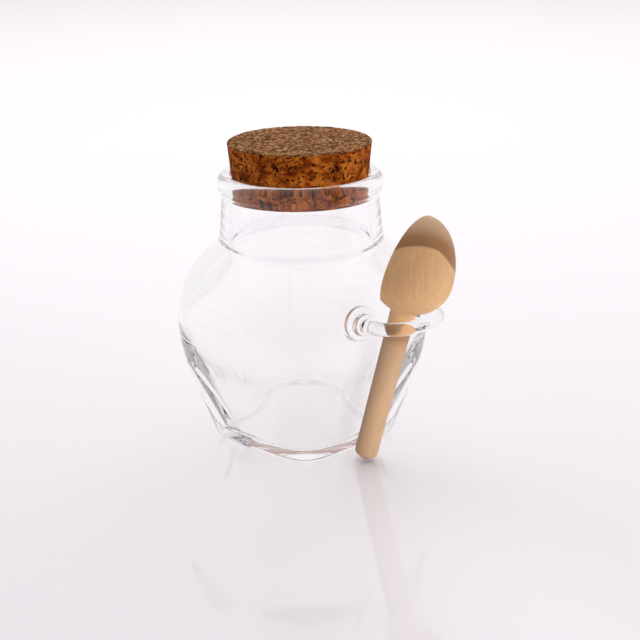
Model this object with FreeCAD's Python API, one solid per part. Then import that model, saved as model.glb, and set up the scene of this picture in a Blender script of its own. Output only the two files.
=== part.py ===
import FreeCAD, Part

import math
import os

from FreeCAD import Vector

# A clear glass storage jar with a cork stopper and a wooden spoon that hangs in a glass loop.
# Millimetres. The origin is the middle of the base on the resting plane, +Z runs up the jar's
# axis, and the loop is in the middle of the -Y face.

# Body: a rounded square base that swells into a belly and closes to a round shoulder.
BASE_DIAGONAL = 77.4       # across the rounded corners of the base, before the heel is rounded
BELLY_DIAGONAL = 110.4     # across the corners at the widest height
BELLY_HEIGHT = 56.0        # height of the widest section
SHOULDER_HEIGHT = 92.3     # where the shoulder meets the neck
BASE_FLARE = 0.36          # outward slope of the wall as it leaves the base
SHOULDER_SLOPE = -1.25     # slope of the shoulder as it runs into the neck
BASE_EXPONENT = 4.48       # superellipse exponent of the base section: squarish
ROUND_EXPONENT = 2.0       # and of the shoulder section: a circle
ROUNDING_RATE = 1.37       # how late up the height the square turns round
HEEL_RADIUS = 6.3
WALL = 3.0                 # glass thickness at the belly
FLOOR = 7.5                # glass thickness of the bottom
CORNER_WALL = 8.5          # glass left at the foot of the cavity, measured along a diagonal
CAVITY_HEEL_RADIUS = 4.5
FOOT_EXPONENT = 2.8        # of the cavity's section at its floor, rounder than the outside
FOOT_BLEND = 32.0          # height over which the cavity takes up the outside's shape

# Neck and rim
NECK_FOOT_RADIUS = 35.9
NECK_TOP_RADIUS = 34.2     # in the groove under the bead
NECK_HEIGHT = 19.7         # from the shoulder to the bead
BEAD_RADIUS = 35.8
BEAD_HEIGHT = 9.6
BEAD_UNDERCUT = 3.0        # height over which the bead swells out of the neck
LIP_OUTER_RADIUS = 2.8     # rounding of the rim, outside and inside
LIP_INNER_RADIUS = 2.4
MOUTH_RADIUS = 29.95
THROAT_RADIUS = 31.4       # where the bore opens into the cavity
THROAT_DROP = 4.3          # the throat lies this far below the outer shoulder

# Stopper: a truncated cone that seats on the inner edge of the rim
CORK_EXPOSED = 13.8        # height above the rim
CORK_INSERTED = 10.6       # depth below the rim
CORK_TAPER = 0.1           # radius gained for each millimetre of height
CORK_CHAMFER = 0.6
SEAT_CLEARANCE = 0.3

# Loop: a glass rod fused to the wall by two round pads
LOOP_HEIGHT = 67.3
LOOP_STANDOFF = 18.5887    # beyond the wall at the pads, to the middle of the rod at its front
LOOP_SPREAD = 18.0         # degrees from the -Y direction to each pad
LOOP_BEND = 13.5           # bend radius of the rod's centre line
ROD_DIAMETER = 5.9
PAD_DIAMETER = 15.0
PAD_THICKNESS = 2.8
BOSS_DIAMETER = 9.4
BOSS_THICKNESS = 2.6
PAD_SINK = 2.4             # how far a pad's foot is melted into the wall

# Spoon: turned in one piece, with the bowl planed open on the side towards the jar
HANDLE_DIAMETER = 10.8
HANDLE_TIP_DIAMETER = 10.0
FLOOR_GAP = 0.6            # between the handle's end and the resting plane
SPOON_OFFSET = -4.0        # along X at the loop
SPOON_SIDE_LEAN = -0.5     # degrees
BOWL_RADIUS = 16.9
BOWL_RISE = 22.0           # from the rod to the bowl's widest section, along the spoon
BOWL_TIP_LENGTH = 27.5     # from the widest section to the tip
BOWL_NECK_LENGTH = 15.4    # from the widest section back towards the handle
BOWL_PLANE = -2.0          # the open face lies this far beyond the spoon's axis, away from the jar
BOWL_WALL = 2.8
BOWL_BACK = 5.4            # thickness of the bowl at the bottom of the hollow
NECK_BLEND = 2.5           # length over which the handle swells into the bowl
DOME_FLATNESS = 1.15       # radius of the handle's rounded end, as a share of its own radius

SECTION_POINTS = 32
SECTION_LEVELS = 10
LEAN_STEPS = 28            # heights at which the handle is kept clear of the wall
LEAN_ROUNDS = 8            # repeats that settle the tilt, which sets its own clearance
OVERLAP = 1.0              # how far one solid runs into the next before they are fused


def hermite(start, end, start_slope, end_slope, z0, z1, z):
    """A cubic from (z0, start) to (z1, end) with the slopes named at its two ends."""
    span = z1 - z0
    t = (z - z0) / span
    return (start * (2 * t**3 - 3 * t**2 + 1) + end * (3 * t**2 - 2 * t**3)
            + span * (start_slope * (t**3 - 2 * t**2 + t) + end_slope * (t**3 - t**2)))


def roundness(z):
    """The reciprocal of the superellipse exponent at a height."""
    low, high = 1 / BASE_EXPONENT, 1 / ROUND_EXPONENT
    share = min(max(z / SHOULDER_HEIGHT, 0.0), 1.0)
    return low + (high - low) * share**ROUNDING_RATE


def half_diagonal(z):
    """The outer half diagonal of the body at a height."""
    if z <= BELLY_HEIGHT:
        return hermite(BASE_DIAGONAL / 2, BELLY_DIAGONAL / 2, BASE_FLARE, 0, 0, BELLY_HEIGHT, z)
    return hermite(BELLY_DIAGONAL / 2, NECK_FOOT_RADIUS, 0, SHOULDER_SLOPE,
                   BELLY_HEIGHT, SHOULDER_HEIGHT, z)


def cavity_half_diagonal(z):
    """The half diagonal of the hollow at a height."""
    belly = BELLY_DIAGONAL / 2 - WALL
    if z <= BELLY_HEIGHT:
        foot = half_diagonal(FLOOR) - CORNER_WALL
        return hermite(foot, belly, BASE_FLARE, 0, FLOOR, BELLY_HEIGHT, z)
    return hermite(belly, THROAT_RADIUS, 0, SHOULDER_SLOPE, BELLY_HEIGHT,
                   SHOULDER_HEIGHT - THROAT_DROP, z)


def cavity_roundness(z):
    """The reciprocal of the exponent of the hollow's section at a height."""
    share = min(max((z - FLOOR) / FOOT_BLEND, 0.0), 1.0)
    ease = 1 - share**2 * (3 - 2 * share)
    return roundness(z) + (1 / FOOT_EXPONENT - roundness(FLOOR)) * ease


def half_width(z, diagonal, roundness_at=roundness):
    """The half width across the flats that goes with a half diagonal."""
    return diagonal / 2 ** (0.5 - roundness_at(z))


def section(z, diagonal, roundness_at):
    """A closed superellipse wire with its flats square to X and Y."""
    width = half_width(z, diagonal, roundness_at)
    exponent = 1 / roundness_at(z)
    points = []
    for index in range(SECTION_POINTS):
        angle = 2 * math.pi * index / SECTION_POINTS
        reach = (abs(math.cos(angle))**exponent + abs(math.sin(angle))**exponent)**(-1 / exponent)
        points.append(Vector(width * reach * math.cos(angle), width * reach * math.sin(angle), z))
    curve = Part.BSplineCurve()
    curve.interpolate(points, PeriodicFlag=True)
    return Part.Wire(curve.toShape())


def lofted(z0, z1, diagonal_at, roundness_at, heel_radius):
    """A solid through sections at even heights, with the edge of its flat bottom rounded."""
    heights = [z0 + (z1 - z0) * level / SECTION_LEVELS for level in range(SECTION_LEVELS + 1)]
    solid = Part.makeLoft([section(z, diagonal_at(z), roundness_at) for z in heights], True,
                          False)
    bottom = [edge for edge in solid.Edges if edge.BoundBox.ZMax < z0 + 0.01]
    return solid.makeFillet(heel_radius, bottom)


def turned(points_and_arcs):
    """A solid turned about Z from a closed chain of (r, z) points; a triple of points is an arc."""
    edges = []
    last = None
    for item in points_and_arcs:
        stops = item if isinstance(item[0], tuple) else (item,)
        places = [Vector(r, 0, z) for r, z in stops]
        if last is not None and (places[0] - last).Length > 1e-6:
            edges.append(Part.LineSegment(last, places[0]).toShape())
        if len(places) == 3:
            edges.append(Part.Arc(*places).toShape())
        last = places[-1]
    face = Part.Face(Part.Wire(edges))
    return face.revolve(Vector(0, 0, 0), Vector(0, 0, 1), 360)


def quarter(centre_r, centre_z, radius, start, end):
    """Three (r, z) points of an arc between two angles in degrees."""
    angles = (start, (start + end) / 2, end)
    return tuple((centre_r + radius * math.cos(math.radians(a)),
                  centre_z + radius * math.sin(math.radians(a))) for a in angles)


def bore_radius(z):
    """The radius of the conical bore between the throat and the mouth."""
    throat_z = SHOULDER_HEIGHT - THROAT_DROP
    mouth_z = rim_top() - LIP_INNER_RADIUS
    return THROAT_RADIUS + (MOUTH_RADIUS - THROAT_RADIUS) * (z - throat_z) / (mouth_z - throat_z)


def rim_top():
    """Height of the rim's crest."""
    return SHOULDER_HEIGHT + NECK_HEIGHT + BEAD_HEIGHT


def neck():
    """The neck with its bead, still closed across the mouth."""
    foot_z = SHOULDER_HEIGHT - OVERLAP
    groove_z = SHOULDER_HEIGHT + NECK_HEIGHT
    top = rim_top()
    mouth_z = top - LIP_INNER_RADIUS
    slope = (NECK_TOP_RADIUS - NECK_FOOT_RADIUS) / NECK_HEIGHT
    swell = (NECK_TOP_RADIUS + BEAD_RADIUS) / 2 + (BEAD_RADIUS - NECK_TOP_RADIUS) / 4
    return turned([
        (0, foot_z),
        (NECK_FOOT_RADIUS - slope * OVERLAP - OVERLAP, foot_z),
        (NECK_FOOT_RADIUS, SHOULDER_HEIGHT),
        ((NECK_TOP_RADIUS, groove_z), (swell, groove_z + BEAD_UNDERCUT / 3),
         (BEAD_RADIUS, groove_z + BEAD_UNDERCUT)),
        quarter(BEAD_RADIUS - LIP_OUTER_RADIUS, top - LIP_OUTER_RADIUS, LIP_OUTER_RADIUS, 0, 90),
        quarter(MOUTH_RADIUS + LIP_INNER_RADIUS, mouth_z, LIP_INNER_RADIUS, 90, 180),
        (0, mouth_z),
        (0, foot_z),
    ])


def bore():
    """The space inside the neck, which runs from inside the cavity out through the mouth."""
    low = SHOULDER_HEIGHT - THROAT_DROP - 2 * OVERLAP
    high = rim_top() - LIP_INNER_RADIUS
    over = rim_top() + OVERLAP
    return turned([(0, low), (bore_radius(low), low), (bore_radius(high), high),
                   (bore_radius(over), over), (0, over), (0, low)])


def rod_path():
    """The rod's centre line: out from one pad, round two bends and back to the other."""
    spread = math.radians(LOOP_SPREAD)
    corner = loop_reach() / math.cos(spread)
    setback = LOOP_BEND * math.tan((math.pi / 2 + spread) / 2)
    root = pad_face_radius() - PAD_SINK

    def on_leg(side, distance):
        return Vector(side * distance * math.sin(spread), -distance * math.cos(spread), LOOP_HEIGHT)

    def bend(side):
        half_front = loop_reach() * math.tan(spread) - setback
        middle = Vector(side * half_front, -(loop_reach() - LOOP_BEND), LOOP_HEIGHT)
        turn = (math.pi / 2 + spread) / 2
        through = middle + Vector(side * LOOP_BEND * math.sin(turn), -LOOP_BEND * math.cos(turn), 0)
        front = Vector(side * half_front, -loop_reach(), LOOP_HEIGHT)
        return on_leg(side, corner - setback), through, front

    left_in, left_mid, left_out = bend(-1)
    right_in, right_mid, right_out = bend(1)
    return Part.Wire([
        Part.LineSegment(on_leg(-1, root), left_in).toShape(),
        Part.Arc(left_in, left_mid, left_out).toShape(),
        Part.LineSegment(left_out, right_out).toShape(),
        Part.Arc(right_out, right_mid, right_in).toShape(),
        Part.LineSegment(right_in, on_leg(1, root)).toShape(),
    ])


def loop_reach():
    """Distance from the jar's axis to the middle of the rod at its front."""
    return pad_face_radius() + LOOP_STANDOFF


def pad_face_radius():
    """Distance from the jar's axis to the wall where a pad sits."""
    z = LOOP_HEIGHT
    width = half_width(z, half_diagonal(z))
    exponent = 1 / roundness(z)
    spread = math.radians(LOOP_SPREAD)
    return width * (math.sin(spread)**exponent + math.cos(spread)**exponent)**(-1 / exponent)


def pad(side):
    """One pad: a round button with a boss that runs into the rod."""
    radius = PAD_DIAMETER / 2
    boss = BOSS_DIAMETER / 2
    edge = PAD_THICKNESS / 2
    rise = PAD_THICKNESS + BOSS_THICKNESS
    button = turned([
        (0, -PAD_SINK), (radius, -PAD_SINK),
        ((radius, PAD_THICKNESS - edge),
         (radius - edge + edge * math.sqrt(0.5), PAD_THICKNESS - edge + edge * math.sqrt(0.5)),
         (radius - edge, PAD_THICKNESS)),
        (boss, PAD_THICKNESS),
        ((boss, rise - edge),
         (boss - edge + edge * math.sqrt(0.5), rise - edge + edge * math.sqrt(0.5)),
         (boss - edge, rise)),
        (0, rise), (0, -PAD_SINK),
    ])
    button.rotate(Vector(0, 0, 0), Vector(1, 0, 0), 90)
    button.translate(Vector(0, -pad_face_radius(), LOOP_HEIGHT))
    button.rotate(Vector(0, 0, 0), Vector(0, 0, 1), side * LOOP_SPREAD)
    return button


def loop():
    """The rod and its two pads."""
    path = rod_path()
    start = path.Edges[0]
    heading = start.tangentAt(start.FirstParameter)
    profile = Part.Wire(Part.makeCircle(ROD_DIAMETER / 2, path.OrderedVertexes[0].Point, heading))
    rod = path.makePipeShell([profile], True, True)
    return rod.fuse([pad(-1), pad(1)])


def glass_jar():
    """The blown body, neck and loop as one solid, hollowed by the cavity and the bore."""
    body = lofted(0, SHOULDER_HEIGHT + OVERLAP / 2, half_diagonal, roundness, HEEL_RADIUS)
    cavity = lofted(FLOOR, SHOULDER_HEIGHT - THROAT_DROP + OVERLAP / 2, cavity_half_diagonal,
                    cavity_roundness, CAVITY_HEEL_RADIUS)
    outside = body.fuse([neck(), loop()])
    return single(outside.cut(cavity.fuse(bore())))


def cork_stopper():
    """The tapered stopper, seated on the inner edge of the rim."""
    seat_z = rim_top() - LIP_INNER_RADIUS
    seat_radius = MOUTH_RADIUS - SEAT_CLEARANCE

    def radius(z):
        return seat_radius + CORK_TAPER * (z - seat_z)

    low = rim_top() - CORK_INSERTED
    high = rim_top() + CORK_EXPOSED
    return turned([
        (0, low), (radius(low) - CORK_CHAMFER, low), (radius(low), low + CORK_CHAMFER),
        (radius(high), high - CORK_CHAMFER), (radius(high) - CORK_CHAMFER, high), (0, high), (0, low),
    ])


def spoon_lean():
    """The spoon's tilt in radians and the distance of its axis from the jar's, at the loop.

    The handle touches the inner side of the rod and lies along the wall below it.
    """
    rod_side = loop_reach() - ROD_DIAMETER / 2 - SEAT_CLEARANCE
    heights = [BELLY_HEIGHT * step / LEAN_STEPS for step in range(1, LEAN_STEPS + 1)]
    tilt = 0.0
    for _ in range(LEAN_ROUNDS):
        half_handle = HANDLE_DIAMETER / 2 / math.cos(tilt)
        at_rod = rod_side - half_handle
        tilt = min(math.atan((at_rod - half_handle - SEAT_CLEARANCE
                              - half_width(z, half_diagonal(z))) / (LOOP_HEIGHT - z))
                   for z in heights)
    return tilt, at_rod


def wooden_spoon():
    """The spoon, turned upright about its own axis with the rod at zero, then leaned into place."""
    tilt, at_rod = spoon_lean()
    hollow = turned_bowl(BOWL_RADIUS - BOWL_WALL, BOWL_NECK_LENGTH - 2 * BOWL_WALL,
                         BOWL_TIP_LENGTH - BOWL_WALL)
    hollow.translate(Vector(0, BOWL_BACK - BOWL_WALL, 0))
    spoon = single(turned_blank(tilt).cut([plane_cut(), hollow]))
    spoon.rotate(Vector(0, 0, 0), Vector(1, 0, 0), math.degrees(tilt))
    spoon.rotate(Vector(0, 0, 0), Vector(0, 1, 0), SPOON_SIDE_LEAN)
    spoon.translate(Vector(SPOON_OFFSET, -at_rod, LOOP_HEIGHT))
    return spoon


def bowl_point(radius, neck_length, tip_length, degrees):
    """A point of the bowl's outline: -90 at the foot, 0 at the widest section, 90 at the tip."""
    length = tip_length if degrees > 0 else neck_length
    angle = math.radians(degrees)
    return Vector(radius * math.cos(angle), 0, BOWL_RISE + length * math.sin(angle))


def turned_blank(tilt):
    """Handle and bowl as they come off the lathe, before the bowl is opened."""
    tip_radius = HANDLE_TIP_DIAMETER / 2
    dome_radius = tip_radius * DOME_FLATNESS
    dome = dome_radius - math.sqrt(dome_radius**2 - tip_radius**2)
    end = (dome_radius * (1 - math.cos(tilt)) - LOOP_HEIGHT + FLOOR_GAP) / math.cos(tilt)
    shoulder_z = BOWL_RISE - BOWL_NECK_LENGTH - NECK_BLEND
    half = math.asin(tip_radius / dome_radius) / 2
    shoulder = Vector(HANDLE_DIAMETER / 2, 0, shoulder_z)
    rim = Vector(tip_radius, 0, end + dome)
    middle = Vector(dome_radius * math.sin(half), 0, end + dome_radius * (1 - math.cos(half)))
    bowl = Part.BSplineCurve()
    bowl.interpolate(
        [shoulder] + [bowl_point(BOWL_RADIUS, BOWL_NECK_LENGTH, BOWL_TIP_LENGTH, angle)
                      for angle in (-55, -35, -15, 0, 20, 40, 60, 75, 90)],
        InitialTangent=Vector(0, 0, 1), FinalTangent=Vector(-1, 0, 0))
    foot = Vector(0, 0, end)
    outline = Part.Wire([
        Part.Arc(foot, middle, rim).toShape(),
        Part.LineSegment(rim, shoulder).toShape(),
        bowl.toShape(),
        Part.LineSegment(bowl.EndPoint, foot).toShape(),
    ])
    return Part.Face(outline).revolve(Vector(0, 0, 0), Vector(0, 0, 1), 360)


def turned_bowl(radius, neck_length, tip_length):
    """A closed egg about Z, as wide as the bowl's hollow."""
    curve = Part.BSplineCurve()
    curve.interpolate([bowl_point(radius, neck_length, tip_length, angle)
                       for angle in (-90, -70, -45, -20, 0, 20, 45, 70, 90)],
                      InitialTangent=Vector(1, 0, 0), FinalTangent=Vector(-1, 0, 0))
    outline = Part.Wire([curve.toShape(),
                         Part.LineSegment(curve.EndPoint, curve.StartPoint).toShape()])
    return Part.Face(outline).revolve(Vector(0, 0, 0), Vector(0, 0, 1), 360)


def plane_cut():
    """What is planed off the bowl: a slab that ramps down from the handle to the open face."""
    far = BOWL_RISE + BOWL_TIP_LENGTH + OVERLAP
    start = BOWL_RISE - BOWL_NECK_LENGTH - NECK_BLEND
    level = BOWL_RISE - BOWL_NECK_LENGTH / 4
    back = BOWL_RADIUS + OVERLAP
    surface = HANDLE_DIAMETER / 2 + OVERLAP
    ramp_start = Vector(-back, surface, start)
    ramp_end = Vector(-back, -BOWL_PLANE, level)
    ramp = Part.BSplineCurve()
    ramp.interpolate([ramp_start, (ramp_start + ramp_end) / 2, ramp_end],
                     InitialTangent=Vector(0, -0.2, 1), FinalTangent=Vector(0, 0, 1))
    corners = [ramp_end, Vector(-back, -BOWL_PLANE, far), Vector(-back, back, far),
               Vector(-back, back, start), ramp_start]
    edges = [ramp.toShape()]
    edges += [Part.LineSegment(a, b).toShape() for a, b in zip(corners, corners[1:])]
    return Part.Face(Part.Wire(edges)).extrude(Vector(2 * back, 0, 0))


def single(shape):
    """The one solid of a shape, with leftover seams removed."""
    solid = shape.removeSplitter()
    if len(solid.Solids) != 1:
        raise ValueError("expected one solid, got %d" % len(solid.Solids))
    return solid.Solids[0]


PARTS = {
    "glass_jar": glass_jar,
    "cork_stopper": cork_stopper,
    "wooden_spoon": wooden_spoon,
}

os.makedirs("parts", exist_ok=True)
for name, build in PARTS.items():
    solid = build()
    solid.exportStep(os.path.join("parts", name + ".step"))
    box = solid.BoundBox
    print("%-14s valid %s  volume %.0f mm3  x %.1f..%.1f  y %.1f..%.1f  z %.1f..%.1f" % (
        name, solid.isValid(), solid.Volume, box.XMin, box.XMax, box.YMin, box.YMax, box.ZMin, box.ZMax))
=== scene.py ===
"""A clear glass storage jar with a cork stopper and a wooden spoon hanging in its side loop.

Each sub-assembly is a class that builds its meshes and dresses them. Lengths are in
millimetres until a mesh is finished, when it is scaled to the frame's metres.
"""

import logging
import math
from dataclasses import dataclass, field
from enum import Enum

import bmesh
import bpy
from mathutils import Matrix, Vector, noise

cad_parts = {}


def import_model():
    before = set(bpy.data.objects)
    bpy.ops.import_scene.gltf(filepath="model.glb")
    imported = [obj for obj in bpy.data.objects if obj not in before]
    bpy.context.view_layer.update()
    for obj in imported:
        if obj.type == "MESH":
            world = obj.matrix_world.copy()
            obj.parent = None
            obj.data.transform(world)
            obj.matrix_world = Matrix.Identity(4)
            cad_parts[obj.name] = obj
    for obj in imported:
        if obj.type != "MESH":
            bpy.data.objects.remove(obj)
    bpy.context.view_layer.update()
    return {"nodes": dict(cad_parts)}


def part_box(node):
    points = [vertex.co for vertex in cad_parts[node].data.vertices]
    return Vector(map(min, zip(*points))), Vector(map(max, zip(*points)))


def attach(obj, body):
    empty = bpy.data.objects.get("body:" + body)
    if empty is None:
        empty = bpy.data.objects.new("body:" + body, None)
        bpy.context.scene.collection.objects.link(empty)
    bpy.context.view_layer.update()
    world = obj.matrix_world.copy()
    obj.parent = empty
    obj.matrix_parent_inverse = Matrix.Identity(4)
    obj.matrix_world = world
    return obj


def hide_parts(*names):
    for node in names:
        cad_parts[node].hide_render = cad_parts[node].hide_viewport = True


log = logging.getLogger("jar")

MILLIMETRE = 0.001
FULL_TURN = 2 * math.pi

Ring = list[Vector]
Profile = list[tuple[float, float]]
Triple = tuple[float, float, float]
Stops = tuple[tuple[float, Triple], ...]
Socket = bpy.types.NodeSocket
Tree = bpy.types.NodeTree
BMesh = bmesh.types.BMesh
Term = Socket | float | Triple


class Slot(Enum):
    """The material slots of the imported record."""

    GLASS = "glass"
    CORK = "cork"
    SPOON = "spoon_wood"


class Face(Enum):
    """The two faces of the glass wall."""

    OUTSIDE = "outside"
    INSIDE = "inside"


class NoiseKind(Enum):
    """The texture nodes that a finish draws its variation from."""

    CLOUD = "ShaderNodeTexNoise"
    CELLS = "ShaderNodeTexVoronoi"


# ------------ curves and rings


def hermite(ends: tuple[float, float], slopes: tuple[float, float],
            span: tuple[float, float], z: float) -> float:
    """A cubic between two heights.

    Args:
        ends: The values at the two heights.
        slopes: The slopes at the two heights.
        span: The two heights.
        z: The height asked for.

    Returns:
        The value at z.
    """
    length = span[1] - span[0]
    t = (z - span[0]) / length
    return (ends[0] * (2 * t**3 - 3 * t**2 + 1) + ends[1] * (3 * t**2 - 2 * t**3)
            + length * (slopes[0] * (t**3 - 2 * t**2 + t) + slopes[1] * (t**3 - t**2)))


def steps(start: float, end: float, count: int, ends: bool = True) -> list[float]:
    """Values that cut a span into even intervals; without ends, the first is left out."""
    return [start + (end - start) * i / count for i in range(0 if ends else 1, count + 1)]


def circle_ring(radius: float, z: float, points: int) -> Ring:
    """A round ring of points about Z, starting on +X."""
    turns = [FULL_TURN * i / points for i in range(points)]
    return [Vector((radius * math.cos(a), radius * math.sin(a), z)) for a in turns]


def eased_corner(before: Ring, corner: Ring, after: Ring, count: int) -> list[Ring]:
    """Rings that round off a crease between two walls.

    Args:
        before: The ring where the rounding starts.
        corner: The ring on the crease.
        after: The ring where the rounding ends.
        count: How many intervals the rounding has.

    Returns:
        The rings from before to after, both included.
    """
    rings = []
    for t in steps(0, 1, count):
        rings.append([a * (1 - t)**2 + b * 2 * t * (1 - t) + c * t**2
                      for a, b, c in zip(before, corner, after)])
    return rings


def skin(rings: list[Ring]) -> BMesh:
    """A closed mesh through rings of equal length, capped at both ends.

    Args:
        rings: The rings in order along the skin.

    Returns:
        A new bmesh whose faces point outwards.
    """
    bm = bmesh.new()
    bmesh.ops.create_circle(bm, cap_ends=False, radius=1.0, segments=len(rings[0]))
    bm.verts.ensure_lookup_table()
    front = list(bm.verts)
    for vert, place in zip(front, rings[0]):
        vert.co = place
    bm.faces.new(reversed(front))
    edges = list(bm.edges)
    for ring in rings[1:]:
        grown = bmesh.ops.extrude_edge_only(bm, edges=edges)["geom"]
        edges = [item for item in grown if isinstance(item, bmesh.types.BMEdge)
                 and item.is_boundary]
        fresh = {vert for edge in edges for vert in edge.verts}
        ahead = []
        for vert in front:
            ahead.append(next(edge.other_vert(vert) for edge in vert.link_edges
                              if edge.other_vert(vert) in fresh))
        for vert, place in zip(ahead, ring):
            vert.co = place
        front = ahead
    bm.faces.new(front)
    bmesh.ops.recalc_face_normals(bm, faces=bm.faces)
    return bm


def turned(profile: Profile, segments: int) -> BMesh:
    """A closed solid spun about Z.

    Args:
        profile: (radius, height) points from one pole to the other.
        segments: How many sides the turn has.

    Returns:
        A new bmesh whose faces point outwards.
    """
    bm = bmesh.new()
    verts = [bm.verts.new((radius, 0, z)) for radius, z in profile]
    edges = [bm.edges.new(pair) for pair in zip(verts, verts[1:])]
    bmesh.ops.spin(bm, geom=verts + edges, cent=(0, 0, 0), axis=(0, 0, 1), angle=FULL_TURN,
                   steps=segments, use_merge=True)
    bmesh.ops.remove_doubles(bm, verts=bm.verts, dist=1e-4)
    bmesh.ops.recalc_face_normals(bm, faces=bm.faces)
    return bm


def arc(centre: tuple[float, float], radius: float, start: float, end: float,
        count: int) -> Profile:
    """Points on an arc in the (radius, height) plane; 0 degrees points out and 90 up."""
    angles = [math.radians(a) for a in steps(start, end, count)]
    return [(centre[0] + radius * math.cos(a), centre[1] + radius * math.sin(a)) for a in angles]


# ------------ objects


def linked(name: str, data: bpy.types.ID) -> bpy.types.Object:
    """A new object in the scene.

    Args:
        name: Its name.
        data: Its mesh, light or camera.

    Returns:
        The object.
    """
    obj = bpy.data.objects.new(name, data)
    bpy.context.scene.collection.objects.link(obj)
    return obj


def smoothed(mesh: bpy.types.Mesh) -> None:
    """Gives every face of a mesh smooth shading."""
    mesh.polygons.foreach_set("use_smooth", [True] * len(mesh.polygons))


def to_object(bm: BMesh, name: str) -> bpy.types.Object:
    """Frees a bmesh into a smooth-shaded object at the origin, in metres.

    Args:
        bm: The mesh, in millimetres.
        name: The object's name.

    Returns:
        The new object.
    """
    bmesh.ops.scale(bm, vec=(MILLIMETRE,) * 3, verts=bm.verts)
    mesh = bpy.data.meshes.new(name)
    bm.to_mesh(mesh)
    bm.free()
    smoothed(mesh)
    return linked(name, mesh)


def combined(base: bpy.types.Object, tool: bpy.types.Object, operation: str) -> None:
    """Joins a tool into a base, or takes it away, with an exact Boolean that is applied.

    Args:
        base: The object that keeps the result.
        tool: The object that is used up.
        operation: UNION or DIFFERENCE.
    """
    modifier = base.modifiers.new("combine", "BOOLEAN")
    modifier.operation = operation
    modifier.solver = "EXACT"
    modifier.object = tool
    graph = bpy.context.evaluated_depsgraph_get()
    result = bpy.data.meshes.new_from_object(base.evaluated_get(graph))
    base.modifiers.clear()
    base.data = result
    bpy.data.objects.remove(tool)
    smoothed(result)


def sharpened(obj: bpy.types.Object, degrees: float) -> None:
    """Marks the edges sharper than an angle, so that they shade as edges.

    Args:
        obj: The object to mark.
        degrees: The angle between two faces from which an edge is sharp.
    """
    bm = bmesh.new()
    bm.from_mesh(obj.data)
    for edge in bm.edges:
        if len(edge.link_faces) == 2:
            edge.smooth = edge.calc_face_angle(0.0) < math.radians(degrees)
    bm.to_mesh(obj.data)
    bm.free()


# ------------ shader nodes


def feed(tree: Tree, inlet: Socket, term: Term) -> None:
    """Links a socket to an input, or sets the input to a constant.

    Args:
        tree: The tree that holds the input.
        inlet: The input.
        term: The socket or the constant; a colour's three numbers are taken as opaque.
    """
    if isinstance(term, Socket):
        tree.links.new(term, inlet)
    else:
        inlet.default_value = (*term, 1) if inlet.type == "RGBA" else term


def add_node(tree: Tree, kind: str, *terms: Term,
             **named: Term | str | Tree) -> bpy.types.Node:
    """Adds a node with its inputs linked or set.

    Args:
        tree: The tree that it joins.
        kind: Its type, such as ShaderNodeMath.
        terms: Its first inputs in order, each a socket to link or a constant.
        named: Further inputs by name, underscores standing for spaces. A name that starts in
            lower case is a setting of the node itself, such as operation.

    Returns:
        The node.
    """
    node = tree.nodes.new(kind)
    for inlet, term in zip(node.inputs, terms):
        feed(tree, inlet, term)
    for name, term in named.items():
        if name[0].islower():
            setattr(node, name, term)
        else:
            feed(tree, node.inputs[name.replace("_", " ")], term)
    return node


def speckle_group() -> Tree:
    """Fleck mask shared by the natural materials: noise cut at a level, 1 on a fleck.

    Returns:
        The group, with inputs Vector, Scale, Level and Softness and an output Mask.
    """
    group = bpy.data.node_groups.new("Speckle", "ShaderNodeTree")
    add_socket = group.interface.new_socket
    add_socket(name="Vector", in_out="INPUT", socket_type="NodeSocketVector")
    for name, value in (("Scale", 100.0), ("Level", 0.6), ("Softness", 0.05)):
        socket = add_socket(name=name, in_out="INPUT", socket_type="NodeSocketFloat")
        socket.default_value = value
    add_socket(name="Mask", in_out="OUTPUT", socket_type="NodeSocketFloat")
    inlet = add_node(group, "NodeGroupInput").outputs
    cloud = add_node(group, NoiseKind.CLOUD.value, Vector=inlet["Vector"],
                     Scale=inlet["Scale"], Detail=4.0)
    top = add_node(group, "ShaderNodeMath", inlet["Level"], inlet["Softness"], operation="ADD")
    ramp = add_node(group, "ShaderNodeMapRange", Value=cloud.outputs["Fac"],
                    From_Min=inlet["Level"], From_Max=top.outputs[0])
    add_node(group, "NodeGroupOutput", Mask=ramp.outputs["Result"])
    return group


@dataclass(frozen=True)
class Flecks:
    """A layer of flecks: how fine, the noise value that starts one, its edge and its colour."""

    scale: float
    level: float
    softness: float
    tone: Triple


@dataclass(frozen=True)
class GrowthRing:
    """A growth ring: its radius, the width of its edge and how far noise moves it, in metres."""

    radius: float
    softness: float
    wobble: float


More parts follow.
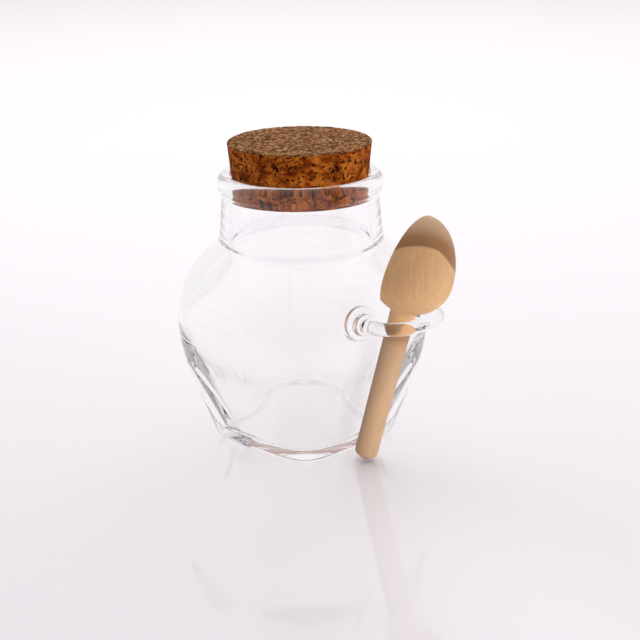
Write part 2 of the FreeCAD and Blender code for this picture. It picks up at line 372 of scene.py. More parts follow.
@dataclass
class Painter:
    """A material under construction, with short ways to add its nodes."""

    name: str
    material: bpy.types.Material = field(init=False)
    tree: Tree = field(init=False)
    place: Socket = field(init=False)

    def __post_init__(self) -> None:
        """Makes the material with its shader and Object coordinates."""
        self.material = bpy.data.materials.new(self.name)
        self.material.use_nodes = True
        self.tree = self.material.node_tree
        self.place = self.node("ShaderNodeTexCoord").outputs["Object"]

    def node(self, kind: str, *terms: Term,
             **named: Term | str | Tree) -> bpy.types.Node:
        """A new node in this material, given as for add_node."""
        return add_node(self.tree, kind, *terms, **named)

    def set(self, **values: Term) -> None:
        """Sets or links the shader's own inputs; underscores stand for spaces."""
        shader = self.tree.nodes["Principled BSDF"]
        for name, value in values.items():
            feed(self.tree, shader.inputs[name.replace("_", " ")], value)

    def mapped(self, scale: Triple, turn: Triple = (0, 0, 0),
               shift: Triple = (0, 0, 0)) -> Socket:
        """Object coordinates, stretched, turned in degrees and shifted in metres."""
        return self.node("ShaderNodeMapping", Vector=self.place, Scale=scale, Location=shift,
                         Rotation=[math.radians(a) for a in turn]).outputs["Vector"]

    def texture(self, kind: NoiseKind, vector: Socket, output: str = "Fac",
                **values: float) -> Socket:
        """The named output of a texture read at a vector, with constants for its inputs."""
        return self.node(kind.value, Vector=vector, **values).outputs[output]

    def ramp(self, value: Socket, stops: Stops) -> Socket:
        """A colour ramp.

        Args:
            value: What drives it.
            stops: (position, colour) pairs.

        Returns:
            The colour.
        """
        node = self.node("ShaderNodeValToRGB", value)
        elements = node.color_ramp.elements
        while len(elements) < len(stops):
            elements.new(0.5)
        for element, (position, colour) in zip(elements, stops):
            element.position = position
            element.color = (*colour, 1)
        return node.outputs["Color"]

    def mix(self, amount: Socket, first: Socket, second: Socket | Triple) -> Socket:
        """One colour over another.

        Args:
            amount: The share of the second.
            first: The colour below.
            second: The colour on top, a socket or three numbers.

        Returns:
            The mixed colour.
        """
        node = self.node("ShaderNodeMix", data_type="RGBA", Factor=amount)
        for inlet, colour in zip(node.inputs[6:8], (first, second)):
            feed(self.tree, inlet, colour)
        return node.outputs[2]

    def flecked(self, base: Socket, group: Tree, vector: Socket, flecks: Flecks,
                within: Socket | None = None) -> Socket:
        """A colour with flecks over it.

        Args:
            base: The colour below.
            group: The group from speckle_group.
            vector: Where the flecks are read.
            flecks: Their look.
            within: A mask that they keep to, if any.

        Returns:
            The flecked colour.
        """
        mask = self.node("ShaderNodeGroup", node_tree=group, Vector=vector, Scale=flecks.scale,
                         Level=flecks.level, Softness=flecks.softness).outputs["Mask"]
        if within is not None:
            mask = self.node("ShaderNodeMath", mask, within, operation="MULTIPLY").outputs[0]
        return self.mix(mask, base, flecks.tone)

    def height_band(self, low: float, high: float, most: float = 1.0) -> Socket:
        """A mask that rises along Z.

        Args:
            low: The height where it is 0, in metres.
            high: The height where it is full; it may be the lower of the two.
            most: Its value where it is full.

        Returns:
            The mask.
        """
        split = self.node("ShaderNodeSeparateXYZ", self.place)
        return self.node("ShaderNodeMapRange", Value=split.outputs["Z"], From_Min=low,
                         From_Max=high, To_Max=most).outputs["Result"]

    def ring_band(self, centre: Triple, axis: Triple, ring: GrowthRing) -> Socket:
        """A mask that rises from 0 to 1 outside a growth ring, a wavy cylinder in the wood.

        Args:
            centre: A point on the ring's axis, in metres.
            axis: The direction of that axis.
            ring: The ring's size.

        Returns:
            The mask.
        """
        vector = "ShaderNodeVectorMath"
        offset = self.node(vector, self.place, centre, operation="SUBTRACT")
        across = self.node(vector, offset.outputs["Vector"], Vector(axis).normalized(),
                           operation="CROSS_PRODUCT")
        reach = self.node(vector, across.outputs["Vector"], operation="LENGTH")
        wave = self.texture(NoiseKind.CLOUD, self.place, Scale=90.0, Detail=3.0)
        moved = self.node("ShaderNodeMath", wave, ring.wobble, reach.outputs["Value"],
                          operation="MULTIPLY_ADD")
        return self.node("ShaderNodeMapRange", Value=moved.outputs[0], From_Min=ring.radius,
                         From_Max=ring.radius + ring.softness).outputs["Result"]

    def bump(self, height: Socket, strength: float, distance: float) -> None:
        """Bumps the shader's Normal by a height, to a depth in metres."""
        self.set(Normal=self.node("ShaderNodeBump", Height=height, Strength=strength,
                                  Distance=distance).outputs["Normal"])


# ------------ finishes


@dataclass(frozen=True)
class ClearGlass:
    """Thick clear glass with the faint swirl of a blown wall, its colour darker where it turns
    edge on: painted shade that draws its outlines.
    """

    ior: float = 1.5
    swirl_stretch: Triple = (1, 1, 0.55)
    swirl_scale: float = 38.0
    swirl_detail: float = 1.5
    swirl_depth: float = 0.00035
    swirl_strength: float = 0.12
    shadow_tint: Triple = (0.995, 0.998, 0.998)
    clear: Triple = (0.994, 0.996, 0.996)
    # Tone at a grazing view, and the facing share where it begins: painted shade for the glass's
    # dark outlines.
    edge: Triple = (0.30, 0.31, 0.32)
    edge_shade_start: float = 0.86

    def material(self) -> bpy.types.Material:
        """The material, which lets shadow rays and scattered light straight through.

        Returns:
            The material.
        """
        paint = Painter("clear_glass")
        paint.set(Roughness=0.0, Metallic=0.0, Transmission_Weight=1.0, IOR=self.ior)
        # The colour darkens towards a grazing view. This is painted shade that draws the dark
        # outlines, standing in partly for the longer path through the glass at its edges.
        turned_away = paint.node("ShaderNodeLayerWeight").outputs["Facing"]
        paint.set(Base_Color=paint.ramp(turned_away, (
            (0.0, self.clear), (self.edge_shade_start, self.clear), (1.0, self.edge))))
        swirl = paint.texture(NoiseKind.CLOUD, paint.mapped(self.swirl_stretch),
                              Scale=self.swirl_scale, Detail=self.swirl_detail)
        paint.bump(swirl, self.swirl_strength, self.swirl_depth)
        nodes = paint.tree.nodes
        clear = paint.node("ShaderNodeBsdfTransparent", Color=self.shadow_tint)
        path = paint.node("ShaderNodeLightPath").outputs
        soft = paint.node("ShaderNodeMath", path["Is Shadow Ray"], path["Is Diffuse Ray"],
                          operation="MAXIMUM")
        either = paint.node("ShaderNodeMixShader", soft.outputs[0],
                            nodes["Principled BSDF"].outputs["BSDF"], clear.outputs["BSDF"])
        feed(paint.tree, nodes["Material Output"].inputs["Surface"], either.outputs["Shader"])
        return paint.material


@dataclass(frozen=True)
class AgglomeratedCork:
    """Pressed cork granules: warm on the cut side, dull on the rubbed top."""

    stretch: Triple = (1, 1, 1.25)
    granule_scale: float = 330.0
    granule_tones: Stops = ((0.0, (0.070, 0.010, 0.0008)), (0.35, (0.205, 0.038, 0.0022)),
                            (0.65, (0.400, 0.092, 0.0060)), (1.0, (0.640, 0.220, 0.040)))
    cloud_scale: float = 210.0
    cloud_tones: Stops = ((0.38, (0.080, 0.012, 0.001)), (0.50, (0.360, 0.072, 0.004)),
                          (0.62, (0.600, 0.190, 0.026)))
    blend_scale: float = 420.0
    bark: Flecks = Flecks(330.0, 0.585, 0.06, (0.024, 0.0032, 0.0008))
    specks: Flecks = Flecks(760.0, 0.545, 0.06, (0.062, 0.011, 0.001))
    dust_scale: float = 640.0
    dust_tones: Stops = ((0.40, (0.040, 0.015, 0.005)), (0.50, (0.158, 0.062, 0.019)),
                         (0.60, (0.400, 0.212, 0.100)))
    top_band: tuple[float, float] = (0.1344, 0.1350)
    grit_strength: float = 0.5
    grit_depth: float = 0.0006

    def material(self, speckle: Tree) -> bpy.types.Material:
        """The finished material.

        Args:
            speckle: The shared fleck group.

        Returns:
            The material.
        """
        paint = Painter("agglomerated_cork")
        paint.set(Roughness=0.95, Specular_IOR_Level=0.08)
        place = paint.mapped(self.stretch)
        granules = paint.texture(NoiseKind.CELLS, place, "Color", Scale=self.granule_scale)
        cloud = paint.texture(NoiseKind.CLOUD, place, Scale=self.cloud_scale, Detail=6.0)
        half = paint.texture(NoiseKind.CLOUD, place, Scale=self.blend_scale, Detail=3.0)
        side = paint.mix(half, paint.ramp(granules, self.granule_tones),
                         paint.ramp(cloud, self.cloud_tones))
        for flecks in (self.bark, self.specks):
            side = paint.flecked(side, speckle, place, flecks)
        dust = paint.texture(NoiseKind.CLOUD, paint.mapped((1, 1, 1)), Scale=self.dust_scale,
                             Detail=6.0, Roughness=0.7)
        top = paint.ramp(dust, self.dust_tones)
        paint.set(Base_Color=paint.mix(paint.height_band(*self.top_band), side, top))
        paint.bump(dust, self.grit_strength, self.grit_depth)
        return paint.material


@dataclass(frozen=True)
class TurnedWood:
    """Pale sanded hardwood whose growth rings show across the bowl's tip and the handle's end."""

    lean: float
    grain_stretch: Triple = (7.0, 7.0, 0.8)
    fibre_scale: float = 110.0
    fibre_tones: Stops = ((0.32, (0.580, 0.315, 0.135)), (0.68, (0.700, 0.425, 0.212)))
    cloud_stretch: Triple = (1.5, 1.5, 0.7)
    cloud_scale: float = 34.0
    cloud_tones: Stops = ((0.34, (0.610, 0.345, 0.165)), (0.66, (0.740, 0.455, 0.240)))
    blend_scale: float = 40.0
    pores: Flecks = Flecks(230.0, 0.66, 0.06, (0.500, 0.240, 0.095))
    handle_band: Triple = (0.074, 0.058, 0.55)
    handle_tone: Triple = (0.650, 0.285, 0.085)
    streaks: Flecks = Flecks(60.0, 0.50, 0.08, (0.360, 0.160, 0.065))
    streak_band: tuple[float, float] = (0.026, 0.012)
    ring_centre: Triple = (-0.0061, -0.0710, 0.0836)
    ring_axis: Triple = (0.72, 0.63, -0.29)
    dark_ring: GrowthRing = GrowthRing(0.0182, 0.0008, 0.0022)
    dark_scale: float = 30.0
    dark_tones: Stops = ((0.3, (0.260, 0.122, 0.048)), (0.7, (0.350, 0.182, 0.080)))
    tip_ring: GrowthRing = GrowthRing(0.0182 + 0.0045, 0.0040, 0.0030)
    tip_grey: Triple = (0.430, 0.270, 0.155)
    grain_strength: float = 0.08
    grain_depth: float = 0.0003

    def material(self, speckle: Tree, centre: Triple) -> bpy.types.Material:
        """The finished material.

        Args:
            speckle: The shared fleck group.
            centre: A point on the spoon's axis, in metres.

        Returns:
            The material.
        """
        paint = Painter("turned_wood")
        paint.set(Roughness=0.55, Specular_IOR_Level=0.3)
        along = paint.mapped(self.grain_stretch, turn=(math.degrees(-self.lean), 0, 0),
                             shift=tuple(-value for value in centre))
        fibre = paint.texture(NoiseKind.CLOUD, along, Scale=self.fibre_scale, Detail=5.0)
        cloud = paint.texture(NoiseKind.CLOUD, paint.mapped(self.cloud_stretch),
                              Scale=self.cloud_scale, Detail=2.0)
        half = paint.texture(NoiseKind.CLOUD, along, Scale=self.blend_scale)
        base = paint.mix(half, paint.ramp(fibre, self.fibre_tones),
                         paint.ramp(cloud, self.cloud_tones))
        base = paint.flecked(base, speckle, along, self.pores)
        base = paint.mix(paint.height_band(*self.handle_band), base, self.handle_tone)
        base = paint.flecked(base, speckle, along, self.streaks,
                             within=paint.height_band(*self.streak_band))
        wave = paint.texture(NoiseKind.CLOUD, paint.mapped((1, 1, 1)), Scale=self.dark_scale)
        dark, tip = [paint.ring_band(self.ring_centre, self.ring_axis, ring)
                     for ring in (self.dark_ring, self.tip_ring)]
        ends = paint.mix(tip, paint.ramp(wave, self.dark_tones), self.tip_grey)
        paint.set(Base_Color=paint.mix(dark, base, ends))
        paint.bump(fibre, self.grain_strength, self.grain_depth)
        return paint.material


@dataclass(frozen=True)
class PaleFloor:
    """A near-white studio sheet with a soft mirror in it."""

    tone: Triple = (0.70, 0.70 * 0.965, 0.70)
    roughness: float = 0.05

    def material(self) -> bpy.types.Material:
        """The finished material.

        Returns:
            The material.
        """
        paint = Painter("pale_floor")
        paint.set(Roughness=self.roughness, Specular_IOR_Level=0.5, Base_Color=self.tone)
        return paint.material


# ------------ the jar


@dataclass(frozen=True)
class JarCuts:
    """How many intervals or sides each stretch of the glass is cut into."""

    around: int = 160
    heel: int = 12
    wall: int = 56
    crease: int = 6
    neck: int = 14
    undercut: int = 8
    bead: int = 4
    lip: int = 10
    bore: int = 16
    hollow_heel: int = 10
    hollow_wall: int = 52
    rod_leg: int = 8
    rod_bend: int = 20
    rod_sides: int = 32
    pad_edge: int = 8
    pad_fillet: int = 4
    pad_sides: int = 64


@dataclass
class GlassJar:
    """The blown body, the neck with its bead, and the fused side loop, as one glass piece."""

    base_diagonal: float = 77.4
    belly_diagonal: float = 110.4
    belly_z: float = 56.0
    shoulder_z: float = 92.3
    base_flare: float = 0.36
    shoulder_slope: float = -1.25
    base_exponent: float = 4.48
    round_exponent: float = 2.0
    rounding_rate: float = 1.37
    heel: float = 6.3
    wall: float = 3.0
    floor: float = 7.5
    corner_wall: float = 8.5
    cavity_heel: float = 4.5
    foot_exponent: float = 2.8
    foot_blend: float = 32.0
    neck_foot: float = 35.9
    neck_top: float = 34.2
    neck_height: float = 19.7
    bead: float = 35.8
    bead_height: float = 9.6
    bead_undercut: float = 3.0
    lip_outer: float = 2.8
    lip_inner: float = 2.4
    mouth: float = 29.95
    throat: float = 31.4
    throat_drop: float = 4.3
    crease: float = 1.1
    cuts: JarCuts = JarCuts()
    loop_z: float = 67.3
    loop_reach: float = 70.2
    loop_spread: float = 18.0
    loop_bend: float = 13.5
    rod: float = 5.9
    pad: float = 15.0
    pad_thickness: float = 2.8
    boss: float = 9.4
    boss_thickness: float = 2.6
    pad_sink: float = 2.4
    floor_shares: tuple[float, ...] = (0.05, 0.3, 0.6, 0.85)

    @property
    def rim_z(self) -> float:
        """Height of the rim's crest."""
        return self.shoulder_z + self.neck_height + self.bead_height

    @property
    def mouth_z(self) -> float:
        """Height at which the rim's inner rounding meets the bore."""
        return self.rim_z - self.lip_inner

    @property
    def throat_z(self) -> float:
        """Height at which the bore meets the hollow."""
        return self.shoulder_z - self.throat_drop

    def roundness(self, z: float) -> float:
        """The reciprocal of the superellipse exponent at a height.

        Args:
            z: The height.

        Returns:
            The reciprocal.
        """
        low, high = 1 / self.base_exponent, 1 / self.round_exponent
        share = min(max(z / self.shoulder_z, 0.0), 1.0)
        return low + (high - low) * share**self.rounding_rate

    def hollow_roundness(self, z: float) -> float:
        """The same for the hollow, whose foot is rounder than the outside.

        Args:
            z: The height.

        Returns:
            The reciprocal.
        """
        share = min(max((z - self.floor) / self.foot_blend, 0.0), 1.0)
        ease = 1 - share**2 * (3 - 2 * share)
        return self.roundness(z) + (1 / self.foot_exponent - self.roundness(self.floor)) * ease

    def outer(self, z: float) -> float:
        """The half diagonal outside.

        Args:
            z: The height.

        Returns:
            The half diagonal.
        """
        widest = self.belly_diagonal / 2
        if z <= self.belly_z:
            return hermite((self.base_diagonal / 2, widest), (self.base_flare, 0),
                           (0, self.belly_z), z)
        return hermite((widest, self.neck_foot), (0, self.shoulder_slope),
                       (self.belly_z, self.shoulder_z), z)

    def inner(self, z: float) -> float:
        """The half diagonal of the hollow.

        Args:
            z: The height.

        Returns:
            The half diagonal.
        """
        widest = self.belly_diagonal / 2 - self.wall
        if z <= self.belly_z:
            foot = self.outer(self.floor) - self.corner_wall
            return hermite((foot, widest), (self.base_flare, 0), (self.floor, self.belly_z), z)
        return hermite((widest, self.throat), (0, self.shoulder_slope),
                       (self.belly_z, self.throat_z), z)

    def section(self, face: Face, wall_z: float, z: float, inset: float = 0.0) -> Ring:
        """A superellipse ring with its flats square to X and Y.

        Args:
            face: Whether it lies on the outside or the inside.
            wall_z: The height whose diagonal and roundness it takes.
            z: Its own height.
            inset: How far it is moved in along its normals.

        Returns:
            The ring.
        """
        outside = face is Face.OUTSIDE
        share = self.roundness(wall_z) if outside else self.hollow_roundness(wall_z)
        diagonal = self.outer(wall_z) if outside else self.inner(wall_z)
        power = 1 / share
        width = diagonal / 2**(0.5 - share)
        ring = []
        for i in range(self.cuts.around):
            angle = FULL_TURN * i / self.cuts.around
            c, s = math.cos(angle), math.sin(angle)
            reach = width * (abs(c)**power + abs(s)**power)**(-1 / power)
            normal = Vector((math.copysign(abs(c)**(power - 1), c),
                             math.copysign(abs(s)**(power - 1), s), 0)).normalized()
            ring.append(Vector((reach * c, reach * s, z)) - normal * inset)
        return ring

    def side(self, face: Face, floor: float, radius: float, top: float,
             counts: tuple[int, int]) -> list[Ring]:
        """The rings of a flat floor, its rounded heel and the wall above.

        Args:
            face: Whether they lie on the outside or the inside.
            floor: The floor's height.
            radius: The heel's radius.
            top: The height of the last ring.
            counts: How many intervals the heel and the wall have.

        Returns:
            The rings from the floor's middle up.
        """
        slope = math.atan(self.base_flare)
        level = floor + radius
        heel = []
        for angle in steps(-math.pi / 2, -slope, counts[0]):
            inset = radius / math.cos(slope) - radius * math.cos(angle)
            heel.append(self.section(face, level, level + radius * math.sin(angle), inset))
        flat = [[Vector((p.x * share, p.y * share, p.z)) for p in heel[0]]
                for share in self.floor_shares]
        start = floor + radius * (1 - math.sin(slope))
        return flat + heel + [self.section(face, z, z)
                              for z in steps(start, top, counts[1], ends=False)]

    def neck(self) -> Profile:
        """The neck from the shoulder's crease, over the rim and down the bore.

        Returns:
            (radius, height) points.
        """
        cuts = self.cuts
        groove_z = self.shoulder_z + self.neck_height
        taper = (self.neck_top - self.neck_foot) / self.neck_height
        points = [(self.neck_foot + taper * (z - self.shoulder_z), z)
                  for z in steps(self.shoulder_z + self.crease, groove_z, cuts.neck, ends=False)]
        points += [(self.neck_top + (self.bead - self.neck_top) * (1 - math.cos(math.pi * t)) / 2,
                    groove_z + self.bead_undercut * t)
                   for t in steps(0, 1, cuts.undercut, ends=False)]
        lip_z = self.rim_z - self.lip_outer
        points += [(self.bead, z) for z in steps(groove_z + self.bead_undercut, lip_z,
                                                 cuts.bead, ends=False)]
        points += arc((self.bead - self.lip_outer, lip_z), self.lip_outer, 0, 90, cuts.lip)[1:]
        points += arc((self.mouth + self.lip_inner, self.mouth_z), self.lip_inner,
                      90, 180, cuts.lip)[1:]
        slope = (self.throat - self.mouth) / (self.throat_z - self.mouth_z)
        points += [(self.mouth + slope * (z - self.mouth_z), z)
                   for z in steps(self.mouth_z, self.throat_z + self.crease, cuts.bore,
                                  ends=False)]
        return points

    def shell(self) -> BMesh:
        """The body and neck, outside and inside, as one closed skin.

        Returns:
            The mesh in millimetres.
        """
        cuts = self.cuts
        rings = self.side(Face.OUTSIDE, 0.0, self.heel, self.shoulder_z - self.crease,
                          (cuts.heel, cuts.wall))
        taper = (self.neck_top - self.neck_foot) / self.neck_height
        shoulder, above, throat = [circle_ring(radius, z, cuts.around) for radius, z in (
            (self.neck_foot, self.shoulder_z),
            (self.neck_foot + taper * self.crease, self.shoulder_z + self.crease),
            (self.throat, self.throat_z))]
        rings += eased_corner(rings[-1], shoulder, above, cuts.crease)[1:]
        rings += [circle_ring(radius, z, cuts.around) for radius, z in self.neck()]
        inside = self.side(Face.INSIDE, self.floor, self.cavity_heel,
                           self.throat_z - self.crease, (cuts.hollow_heel, cuts.hollow_wall))
        inside.reverse()
        rings += eased_corner(rings[-1], throat, inside[0], cuts.crease)[1:]
        return skin(rings + inside[1:])

    def pad_face(self) -> float:
        """Distance from the axis to the wall where a pad sits.

        Returns:
            The distance.
        """
        power = 1 / self.roundness(self.loop_z)
        width = self.outer(self.loop_z) / 2**(0.5 - 1 / power)
        spread = math.radians(self.loop_spread)
        return width * (math.sin(spread)**power + math.cos(spread)**power)**(-1 / power)

    def rod_route(self) -> list[Vector]:
        """The rod's centre line, from one pad to the other.

        Returns:
            Points on it.
        """
        spread = math.radians(self.loop_spread)
        turn = math.pi / 2 + spread
        setback = self.loop_bend * math.tan(turn / 2)
        corner = self.loop_reach / math.cos(spread)
        root = self.pad_face() - self.pad_sink
        middle_x = self.loop_reach * math.tan(spread) - setback
        half = []
        for distance in steps(root, corner - setback, self.cuts.rod_leg):
            half.append(Vector((distance * math.sin(spread), -distance * math.cos(spread),
                                self.loop_z)))
        for swept in steps(0, turn, self.cuts.rod_bend, ends=False):
            angle = turn - swept
            half.append(Vector((middle_x + self.loop_bend * math.sin(angle),
                                -(self.loop_reach - self.loop_bend)
                                - self.loop_bend * math.cos(angle), self.loop_z)))
        mirrored = [Vector((-p.x, p.y, p.z)) for p in half]
        return mirrored + [Vector((0, -self.loop_reach, self.loop_z))] + list(reversed(half))

    def rod_mesh(self) -> BMesh:
        """The bent rod as a closed tube.

        Returns:
            The mesh in millimetres.
        """
        route = self.rod_route()
        sides = self.cuts.rod_sides
        up = Vector((0, 0, 1))
        rings = []
        for i, point in enumerate(route):
            ahead = route[min(i + 1, len(route) - 1)] - route[max(i - 1, 0)]
            across = up.cross(ahead).normalized()
            rings.append([point + (across * math.cos(FULL_TURN * k / sides)
                                   + up * math.sin(FULL_TURN * k / sides))
                          * self.rod / 2 for k in range(sides)])
        return skin(rings)

    def pad_mesh(self, side: int) -> BMesh:
        """One pad and its boss.

        Args:
            side: -1 for the pad on -X and 1 for the one on +X.

        Returns:
            The mesh in millimetres.
        """
        edge = self.pad_thickness / 2
        rise = self.pad_thickness + self.boss_thickness
        radius, boss = self.pad / 2, self.boss / 2
        profile = [(0.0, -self.pad_sink), (radius / 2, -self.pad_sink),
                   (radius, -self.pad_sink)]
        fillet = edge / 2
        profile += arc((radius - edge, self.pad_thickness - edge), edge, 0, 90,
                       self.cuts.pad_edge)
        profile += [(boss + fillet, self.pad_thickness)]
        profile += arc((boss + fillet, self.pad_thickness + fillet), fillet, 270, 180,
                       self.cuts.pad_fillet)[1:]
        profile += arc((boss - edge, rise - edge), edge, 0, 90, self.cuts.pad_edge)
        profile += [(0.0, rise)]
        bm = turned(profile, self.cuts.pad_sides)
        place = (Matrix.Rotation(math.radians(side * self.loop_spread), 4, "Z")
                 @ Matrix.Translation((0, -self.pad_face(), self.loop_z))
                 @ Matrix.Rotation(math.pi / 2, 4, "X"))
        bmesh.ops.transform(bm, matrix=place, verts=bm.verts)
        return bm

    def build(self) -> bpy.types.Object:
        """Builds the glass and dresses it.

        Returns:
            The finished object.
        """
        jar = to_object(self.shell(), "jar_glass")
        loop = to_object(self.rod_mesh(), "loop_rod")
        for side in (-1, 1):
            combined(loop, to_object(self.pad_mesh(side), "loop_pad"), "UNION")
        combined(jar, loop, "UNION")
        jar.data.materials.clear()
        jar.data.materials.append(ClearGlass().material())
        return jar


# ------------ the cork


@dataclass
class CorkStopper:
    """The tapered cork, with sunken seams between its granules and scattered pits."""

    jar: GlassJar
    low: float
    high: float
    taper: float = 0.1
    clearance: float = 0.3
    chamfer: float = 0.6
    sides: int = 220
    foot_rings: int = 30
    side_rings: int = 44
    top_rings: int = 40
    granule: float = 2.4
    relief: float = 0.16
    seam_width: float = 0.25
    pit: float = 0.42
    pit_frequency: float = 0.42
    pit_level: float = 0.33
    pit_ease: float = 0.3

    def build(self, speckle: Tree) -> bpy.types.Object:
        """Builds the cork and dresses it.

        Args:
            speckle: The shared fleck group.

        Returns:
            The finished object.
        """
        low_radius = self.jar.mouth - self.clearance + self.taper * (self.low - self.jar.mouth_z)
        top_radius = low_radius + self.taper * (self.high - self.low)
        profile = [(r, self.low) for r in steps(0, low_radius - self.chamfer, self.foot_rings)]
        profile += [(low_radius + self.taper * (z - self.low), z)
                    for z in steps(self.low + self.chamfer, self.high - self.chamfer,
                                   self.side_rings)]
        profile += [(r, self.high) for r in steps(top_radius - self.chamfer, 0, self.top_rings)]
        bm = turned(profile, self.sides)
        bm.normal_update()
        for vert in bm.verts:
            cell = noise.voronoi(vert.co / self.granule)[0]
            seam = min(cell[1] - cell[0], self.seam_width) / self.seam_width
            deep = max(noise.noise(vert.co * self.pit_frequency) - self.pit_level, 0.0)
            deep /= self.pit_ease
            depth = self.relief * (1 - seam) + self.pit * min(deep, 1.0)
            vert.co -= vert.normal * depth
        cork = to_object(bm, "cork_stopper_body")
        cork.data.materials.append(AgglomeratedCork().material(speckle))
        return cork


# ------------ the spoon


@dataclass
class WoodenSpoon:
    """The turned spoon, leaning out of the loop with its bowl open towards the jar."""

    jar: GlassJar
    handle: float = 10.8
    handle_tip: float = 10.0
    floor_gap: float = 0.6
    offset: float = -4.0
    side_lean: float = -0.5
    bowl_radius: float = 16.9
    bowl_rise: float = 22.0
    bowl_tip: float = 27.5
    bowl_neck: float = 15.4
    bowl_plane: float = -2.0
    bowl_wall: float = 2.8
    bowl_depth: float = 13.5
    neck_blend: float = 2.5
    foot_angle: float = -60.0
    foot_lift: float = 0.75
    dome_flatness: float = 1.15
    clearance: float = 0.3
    margin: float = 1.0
    sharp_angle: float = 38.0
    sides: int = 96
    lean_rounds: int = 8
    wall_checks: int = 28
    dome_rings: int = 10
    handle_rings: int = 30
    neck_rings: int = 8
    bowl_rings: int = 40
    ramp_steps: int = 12

    def lean(self) -> tuple[float, float]:
        """Leans the spoon until it meets the wall.

        Returns:
            The tilt in radians, and the axis's distance from the jar's at the loop.
        """
        rod_side = self.jar.loop_reach - self.jar.rod / 2 - self.clearance
        tilt, at_rod = 0.0, rod_side
        for _ in range(self.lean_rounds):
            half = self.handle / 2 / math.cos(tilt)
            at_rod = rod_side - half
            tilt = min(math.atan((at_rod - half - self.clearance - self.flat(z))
                                 / (self.jar.loop_z - z))
                       for z in steps(0, self.jar.belly_z, self.wall_checks, ends=False))
        return tilt, at_rod

    def flat(self, z: float) -> float:
        """The jar's half width across the flats at a height."""
        return self.jar.outer(z) / 2**(0.5 - self.jar.roundness(z))

    def outline(self, tilt: float) -> Profile:
        """The turned profile, from the handle's end to the bowl's tip.

        Args:
            tilt: The spoon's lean in radians.

        Returns:
            (radius, height) points about the spoon's own axis, with the rod at zero.
        """
        tip = self.handle_tip / 2
        dome = tip * self.dome_flatness
        end = ((dome * (1 - math.cos(tilt)) - self.jar.loop_z + self.floor_gap)
               / math.cos(tilt))
        reach = math.degrees(math.asin(tip / dome))
        points = arc((0, end + dome), dome, -90, -90 + reach, self.dome_rings)
        shoulder_z = self.bowl_rise - self.bowl_neck - self.neck_blend
        rim_z = points[-1][1]
        points += [(tip + (self.handle / 2 - tip) * t, rim_z + (shoulder_z - rim_z) * t)
                   for t in steps(0, 1, self.handle_rings, ends=False)]
        foot = self.egg(self.foot_angle)
        lift = (self.handle / 2, shoulder_z + (foot[1] - shoulder_z) * self.foot_lift)
        points += [((1 - t)**2 * self.handle / 2 + 2 * t * (1 - t) * lift[0] + t**2 * foot[0],
                    (1 - t)**2 * shoulder_z + 2 * t * (1 - t) * lift[1] + t**2 * foot[1])
                   for t in steps(0, 1, self.neck_rings, ends=False)]
        points += [self.egg(a) for a in steps(self.foot_angle, 90, self.bowl_rings, ends=False)]
        return points

    def egg(self, degrees: float, inset: float = 0.0) -> tuple[float, float]:
        """A point on the bowl's round outline.

        Args:
            degrees: -90 at the foot, 0 at the widest section and 90 at the tip.
            inset: How far the outline is moved in, twice as far at the foot.

        Returns:
            The (radius, height) point.
        """
        a = math.radians(degrees)
        length = self.bowl_tip - inset if degrees > 0 else self.bowl_neck - 2 * inset
        return (max((self.bowl_radius - inset) * math.cos(a), 0.0),
                self.bowl_rise + length * math.sin(a))

    def hollow(self) -> BMesh:
        """The egg that the bowl is hollowed with.

        Returns:
            The mesh in millimetres.
        """
        bm = turned([self.egg(a, self.bowl_wall) for a in steps(-90, 90, self.bowl_rings)],
                    self.sides)
        shift = self.bowl_radius - self.bowl_wall - self.bowl_depth - self.bowl_plane
        bmesh.ops.translate(bm, verts=bm.verts, vec=(0, shift, 0))
        return bm

    def planing(self) -> BMesh:
        """The slab planed off the bowl's open side, ramping down from the handle.

        Returns:
            The mesh in millimetres.
        """
        far = self.bowl_rise + self.bowl_tip + self.margin
        start = self.bowl_rise - self.bowl_neck - self.neck_blend
        level = self.bowl_rise - self.bowl_neck / 4
        back = self.bowl_radius + self.margin
        surface = self.handle / 2 + self.margin
        bm = bmesh.new()
        floor_line = [(surface + (-self.bowl_plane - surface) * (1 - math.cos(math.pi * t)) / 2,
                       start + (level - start) * t) for t in steps(0, 1, self.ramp_steps)]
        corners = floor_line + [(-self.bowl_plane, far), (back, far), (back, start)]
        face = bm.faces.new([bm.verts.new((-back, y, z)) for y, z in corners])
        moved = bmesh.ops.extrude_face_region(bm, geom=[face])["geom"]
        bmesh.ops.translate(bm, vec=(2 * back, 0, 0),
                            verts=[v for v in moved if isinstance(v, bmesh.types.BMVert)])
        bmesh.ops.recalc_face_normals(bm, faces=bm.faces)
        return bm

    def build(self, speckle: Tree) -> bpy.types.Object:
        """Builds the spoon and dresses it.

        Args:
            speckle: The shared fleck group.

        Returns:
            The finished object.
        """
        tilt, at_rod = self.lean()
        spoon = to_object(turned(self.outline(tilt), self.sides), "spoon_body")
        combined(spoon, to_object(self.planing(), "planing"), "DIFFERENCE")
        combined(spoon, to_object(self.hollow(), "hollow"), "DIFFERENCE")
        centre = Vector((self.offset, -at_rod, self.jar.loop_z)) * MILLIMETRE
        place = (Matrix.Translation(centre)
                 @ Matrix.Rotation(math.radians(self.side_lean), 4, "Y")
                 @ Matrix.Rotation(tilt, 4, "X"))
        spoon.data.transform(place)
        sharpened(spoon, self.sharp_angle)
        spoon.data.materials.clear()
        spoon.data.materials.append(TurnedWood(tilt).material(speckle, tuple(centre)))
        return spoon


# ------------ the studio


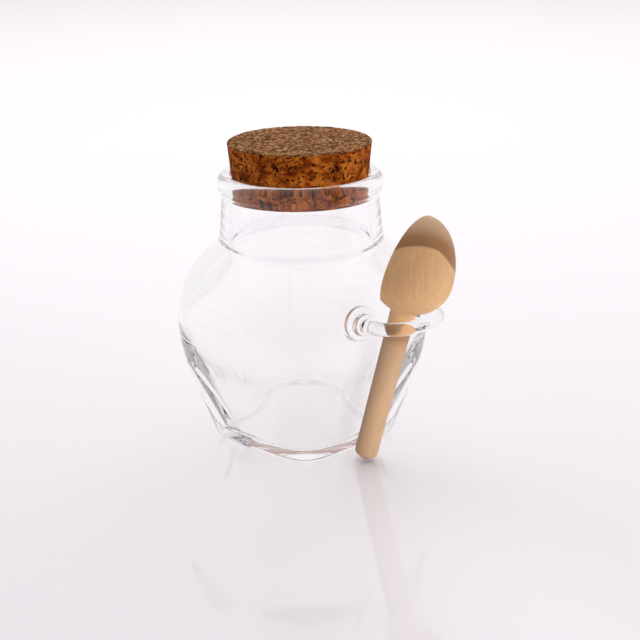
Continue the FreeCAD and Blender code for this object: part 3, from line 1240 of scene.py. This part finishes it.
@dataclass(frozen=True)
class Softbox:
    """A square area light that the glass and the floor don't mirror, in metres and watts."""

    name: str
    place: Triple
    size: float
    power: float
    target: Triple = (0, 0, 0.06)
    spread: float = 180.0

    def build(self) -> None:
        """Hangs the light and turns it to its target."""
        light = bpy.data.lights.new(self.name, "AREA")
        light.size = self.size
        light.energy = self.power
        light.spread = math.radians(self.spread)
        obj = linked(self.name, light)
        obj.location = self.place
        obj.visible_camera = obj.visible_glossy = obj.visible_transmission = False
        aim = Vector(self.target) - obj.location
        obj.rotation_euler = aim.to_track_quat("-Z", "Y").to_euler()


@dataclass(frozen=True)
class Studio:
    """The floor, the lights, the surround and the camera."""

    camera_distance: float = 0.68292
    camera_height: float = 0.27551
    camera_side: float = -45.0
    pitch: float = 17.98
    yaw: float = 0.636
    roll: float = 0.94
    lens: float = 90.75
    sensor: float = 36.0
    floor_size: float = 12000.0
    floor_gap: float = 0.2
    bounces: int = 32
    tint: Triple = (0.985, 0.955, 0.975)
    dusk: tuple[float, float] = (-0.8, 0.4)
    back_light: float = 0.94
    front_light: float = 0.38
    lights: tuple[Softbox, ...] = (
        Softbox("tent", (0.62, 0.62, 0.95), 1.6, 15.0, (0.62, 0.62, 0.0)),
        Softbox("key", (0.14, -1.09, 0.24), 0.5, 4.3),
        Softbox("fill", (-0.16, -0.36, 0.02), 0.08, 0.032, (-0.009, -0.048, 0.012), 26.0))

    def floor(self) -> None:
        """The pale sheet that the jar stands on."""
        bm = bmesh.new()
        bmesh.ops.create_grid(bm, x_segments=1, y_segments=1, size=self.floor_size / 2)
        bmesh.ops.translate(bm, verts=bm.verts, vec=(0, 0, -self.floor_gap))
        obj = to_object(bm, "floor")
        obj.data.materials.append(PaleFloor().material())

    def world(self) -> None:
        """A surround that is bright behind the jar and darker in front of it."""
        world = bpy.data.worlds.new("surround")
        world.use_nodes = True
        tree = world.node_tree
        way = add_node(tree, "ShaderNodeTexCoord").outputs["Generated"]
        behind = (math.sqrt(0.5), math.sqrt(0.5), 0)
        away = add_node(tree, "ShaderNodeVectorMath", way, behind, operation="DOT_PRODUCT")
        level = add_node(tree, "ShaderNodeMapRange", interpolation_type="SMOOTHSTEP",
                         Value=away.outputs["Value"], From_Min=self.dusk[0],
                         From_Max=self.dusk[1], To_Min=self.front_light,
                         To_Max=self.back_light)
        backdrop = tree.nodes["Background"]
        feed(tree, backdrop.inputs["Color"], self.tint)
        feed(tree, backdrop.inputs["Strength"], level.outputs["Result"])
        bpy.context.scene.world = world

    def camera(self) -> None:
        """The camera, higher than the cork and looking down at the jar."""
        data = bpy.data.cameras.new("camera")
        data.lens = self.lens
        data.sensor_width = self.sensor
        obj = linked("camera", data)
        turn = Matrix.Rotation(math.radians(self.camera_side), 4, "Z")
        psi, phi = math.radians(self.yaw), math.radians(self.pitch)
        ahead = Vector((math.sin(psi) * math.cos(phi), math.cos(psi) * math.cos(phi),
                        -math.sin(phi)))
        right = Vector((math.cos(psi), -math.sin(psi), 0))
        up = right.cross(ahead)
        basis = Matrix((right, up, -ahead)).transposed().to_4x4()
        roll = Matrix.Rotation(-math.radians(self.roll), 4, "Z")
        stand = Matrix.Translation((0, -self.camera_distance, self.camera_height))
        obj.matrix_world = turn @ stand @ basis @ roll
        bpy.context.scene.camera = obj

    def long_light_paths(self) -> None:
        """Lets light cross the thick glass as often as it needs, so that no wall goes black."""
        cycles = bpy.context.scene.cycles
        cycles.max_bounces = cycles.glossy_bounces = self.bounces
        cycles.transmission_bounces = cycles.transparent_max_bounces = self.bounces

    def build(self) -> None:
        """Sets the stage."""
        self.floor()
        for light in self.lights:
            light.build()
        self.world()
        self.camera()
        bpy.context.scene.view_settings.view_transform = "Standard"
        self.long_light_paths()


# ------------ assembly


def dress(piece: bpy.types.Object, node: str) -> None:
    """Puts a finished piece in the frame in place of its CAD node.

    Args:
        piece: The finished object.
        node: The CAD node that it stands for.
    """
    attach(piece, "root")
    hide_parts(node)
    log.info("%s: %d faces", piece.name, len(piece.data.polygons))


def main() -> None:
    """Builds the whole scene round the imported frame."""
    logging.basicConfig(level=logging.INFO)
    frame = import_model()
    log.info("frame with %d CAD nodes", len(frame["nodes"]))
    speckle = speckle_group()
    jar = GlassJar()
    dress(jar.build(), "glass_jar")
    low, high = [corner[2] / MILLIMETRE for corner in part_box("cork_stopper")]
    dress(CorkStopper(jar, low, high).build(speckle), "cork_stopper")
    dress(WoodenSpoon(jar).build(speckle), "wooden_spoon")
    Studio().build()


if __name__ == "__main__":
    main()
